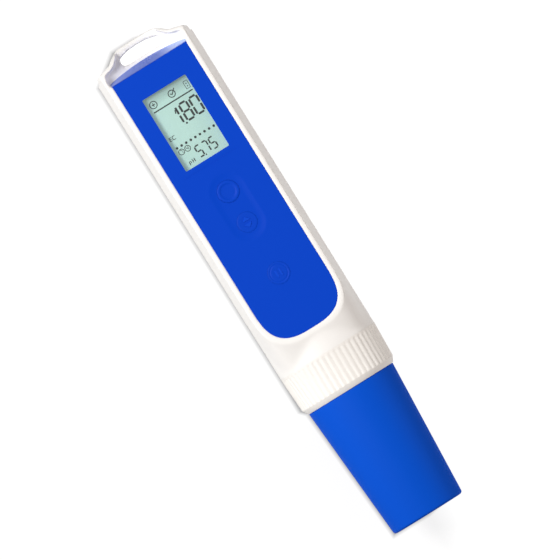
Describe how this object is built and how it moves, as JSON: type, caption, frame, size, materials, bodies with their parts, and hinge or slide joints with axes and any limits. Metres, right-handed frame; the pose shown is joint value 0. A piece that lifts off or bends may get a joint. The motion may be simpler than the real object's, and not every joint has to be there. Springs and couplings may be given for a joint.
{
  "type": "ph test pen",
  "caption": "Hand-held water test pen: flat display panel with round keys, lanyard loop, and a replaceable probe held by a ribbed ring under a tapered cap.",
  "frame": {"origin": "under the middle of the pen, on the surface that its flat back rests on", "axes": "+X across the pen, to the right seen from the front with the loop up; +Y along the pen towards the lanyard loop; +Z out of the front panel"},
  "size_m": [0.037, 0.188, 0.0375],
  "materials": {
    "white_housing": "smooth satin moulding",
    "blue_panel": "smooth satin moulding",
    "blue_cap": "smooth satin moulding",
    "blue_keys": "soft satin",
    "clear_lens": "clear polished",
    "display_glass": "grey green liquid crystal glass",
    "backlight": "milky diffuser",
    "black_plastic": "fine texture",
    "black_rubber": "soft matt",
    "board_laminate": "lacquered laminate",
    "sensor_glass": "clear thin glass",
    "junction_ceramic": "porous unglazed",
    "steel": "plain",
    "cell_wrap": "dark wrap"
  },
  "bodies": {
    "housing": {"front_shell": "white_housing", "rear_shell": "white_housing", "face_panel": "blue_panel", "display_window": "clear_lens", "neck_collar": "white_housing", "lcd_glass": "display_glass", "lcd_backlight": "backlight", "lcd_frame": "black_plastic", "contact_strip": "black_rubber", "main_board": "board_laminate", "board_socket": "black_plastic", "power_switch": "black_plastic", "mode_switch": "black_plastic", "hold_switch": "black_plastic", "shell_screw_lower_left": "steel", "shell_screw_lower_right": "steel", "shell_screw_upper_left": "steel", "shell_screw_upper_right": "steel", "battery_tray": "black_plastic", "cell_left": "cell_wrap", "cell_right": "cell_wrap", "contact_bridge": "steel", "contact_positive": "steel", "contact_negative": "steel"},
    "power_key": {"power_key": "blue_keys", "power_plunger": "black_plastic"},
    "mode_key": {"mode_key": "blue_keys", "mode_plunger": "black_plastic"},
    "hold_key": {"hold_key": "blue_keys", "hold_plunger": "black_plastic"},
    "battery_door": {"battery_door": "white_housing", "door_gasket": "black_rubber", "door_screw_lower": "steel", "door_screw_upper": "steel"},
    "probe": {"probe_holder": "black_plastic", "sensor_guard": "black_plastic", "probe_plug": "black_plastic", "ph_bulb": "sensor_glass", "stem_seal_lower": "black_rubber", "stem_seal_upper": "black_rubber", "cap_seal": "black_rubber", "reference_junction": "junction_ceramic", "temperature_pin": "steel", "conductivity_pin_front": "steel", "conductivity_pin_rear": "steel"},
    "lock_ring": {"lock_ring": "white_housing"},
    "cap": {"cap": "blue_cap"}
  },
  "joints": [
    {"name": "power_key_press", "type": "slide", "parent": "housing", "child": "power_key", "axis": [0, 0, -1], "range_m": [0, 0.0005], "stiffness_N_per_m": 1500},
    {"name": "mode_key_press", "type": "slide", "parent": "housing", "child": "mode_key", "axis": [0, 0, -1], "range_m": [0, 0.0005], "stiffness_N_per_m": 1500},
    {"name": "hold_key_press", "type": "slide", "parent": "housing", "child": "hold_key", "axis": [0, 0, -1], "range_m": [0, 0.0005], "stiffness_N_per_m": 1500},
    {"name": "battery_door_lift", "type": "slide", "parent": "housing", "child": "battery_door", "axis": [0, 0, -1], "range_m": [0, 0.03]},
    {"name": "probe_slide", "type": "slide", "parent": "housing", "child": "probe", "axis": [0, -1, 0], "range_m": [0, 0.006]},
    {"name": "ring_turn", "type": "hinge", "parent": "probe", "child": "lock_ring", "pos_m": [0, -0.037, 0.0186], "axis": [0, -1, 0], "range_deg": [0, 1081]},
    {"name": "cap_pull", "type": "slide", "parent": "probe", "child": "cap", "axis": [0, -1, 0], "range_m": [0, 0.055]}
  ],
  "couplings": [
    {"joint": "ring_turn", "follows": "probe_slide", "rad_per_m": 3141.6}
  ]
}
